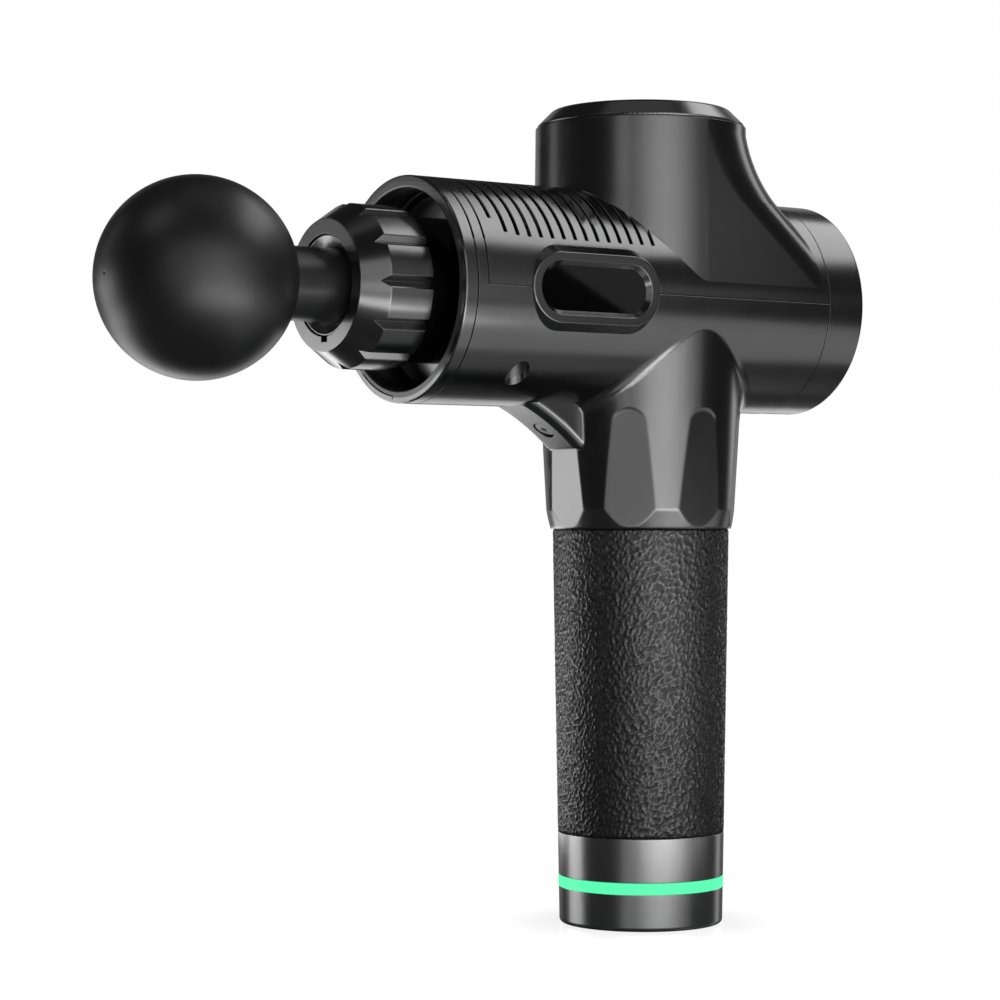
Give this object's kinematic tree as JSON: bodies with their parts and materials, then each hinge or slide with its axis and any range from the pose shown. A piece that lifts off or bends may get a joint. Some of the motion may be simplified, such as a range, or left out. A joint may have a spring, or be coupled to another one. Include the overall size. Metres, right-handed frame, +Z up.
{
  "type": "massage gun",
  "caption": "Percussion massage gun: crank-driven piston with a pull-off ball head, motor tower over the grip, vented barrel, leather-wrapped battery grip, lit base.",
  "frame": {"origin": "centre of the base's bottom face, which the object stands on", "axes": "+Z up the grip's axis, +X along the barrel towards the ball head, +Y to the user's left"},
  "size_m": [0.2432, 0.066, 0.2443],
  "materials": {
    "casing": "satin",
    "base_alloy": "satin",
    "bezel": "satin",
    "gloss_black": "gloss",
    "collar": "satin",
    "bush": "matte",
    "machined_alloy": "satin",
    "steel": "satin",
    "screw_steel": "satin",
    "stem": "satin",
    "rubber": "matte",
    "foam": "matte",
    "motor_steel": "satin",
    "copper": "satin",
    "leather": "satin",
    "inner_plastic": "matte",
    "light": "satin",
    "button": "satin",
    "board": "satin",
    "cell": "satin"
  },
  "bodies": {
    "body": {"upper_shell": "casing", "lower_shell": "casing", "nose_ring": "casing", "tower_cap": "casing", "rear_cap": "casing", "base_cup": "base_alloy", "base_sleeve": "base_alloy", "window_bezel_left": "bezel", "window_bezel_right": "bezel", "window_glass_left": "gloss_black", "window_glass_right": "gloss_black", "panel_lens": "gloss_black", "nose_collar": "collar", "guide_bush": "bush", "motor_plate": "machined_alloy", "motor_end_cap": "machined_alloy", "motor_bearing_lower": "steel", "motor_bearing_upper": "steel", "charge_port": "steel", "shell_screws": "screw_steel", "web_screw": "screw_steel", "rear_screws": "screw_steel", "collar_screws": "screw_steel", "motor_screws": "screw_steel", "base_screws": "screw_steel", "shock_ring": "rubber", "motor_can": "motor_steel", "stator": "motor_steel", "coils": "copper", "leather_sleeve": "leather", "grip_tube": "inner_plastic", "rear_frame": "inner_plastic", "nose_frame": "inner_plastic", "cell_holder_lower": "inner_plastic", "cell_holder_upper": "inner_plastic", "switch_frame": "inner_plastic", "battery_leads": "inner_plastic", "light_ring": "light", "light_board": "board", "battery_board": "board", "driver_board": "board", "control_board": "board", "battery_cells": "cell"},
    "piston": {"piston": "machined_alloy", "piston_key": "steel", "wrist_pin": "steel"},
    "rod": {"connecting_rod": "steel", "rod_bearing": "steel"},
    "head": {"massage_ball": "foam", "head_stem": "stem", "stem_o_ring": "rubber"},
    "rotor": {"rotor": "motor_steel", "motor_shaft": "steel", "eccentric": "machined_alloy", "crank_pin": "steel"},
    "button": {"speed_button": "button"},
    "rocker": {"switch_rocker": "button"}
  },
  "joints": [
    {"name": "piston_stroke", "type": "slide", "parent": "body", "child": "piston", "axis": [1, 0, 0], "range_m": [0, 0.012]},
    {"name": "rod_swing", "type": "hinge", "parent": "piston", "child": "rod", "pos_m": [0.042, 0, 0.1865], "axis": [0, 0, 1], "range_deg": [-7.2, 7.2]},
    {"name": "head_pull", "type": "slide", "parent": "piston", "child": "head", "axis": [1, 0, 0], "range_m": [0, 0.03]},
    {"name": "motor_spin", "type": "hinge", "parent": "body", "child": "rotor", "pos_m": [0, 0, 0.21], "axis": [0, 0, 1], "continuous": true},
    {"name": "speed_button_press", "type": "slide", "parent": "body", "child": "button", "axis": [1, 0, 0], "range_m": [0, 0.0008], "stiffness_N_per_m": 600, "springref_m": -0.0012},
    {"name": "main_switch_rock", "type": "hinge", "parent": "body", "child": "rocker", "pos_m": [0.008, 0, 0.0046], "axis": [1, 0, 0], "range_deg": [-14, 0]}
  ]
}
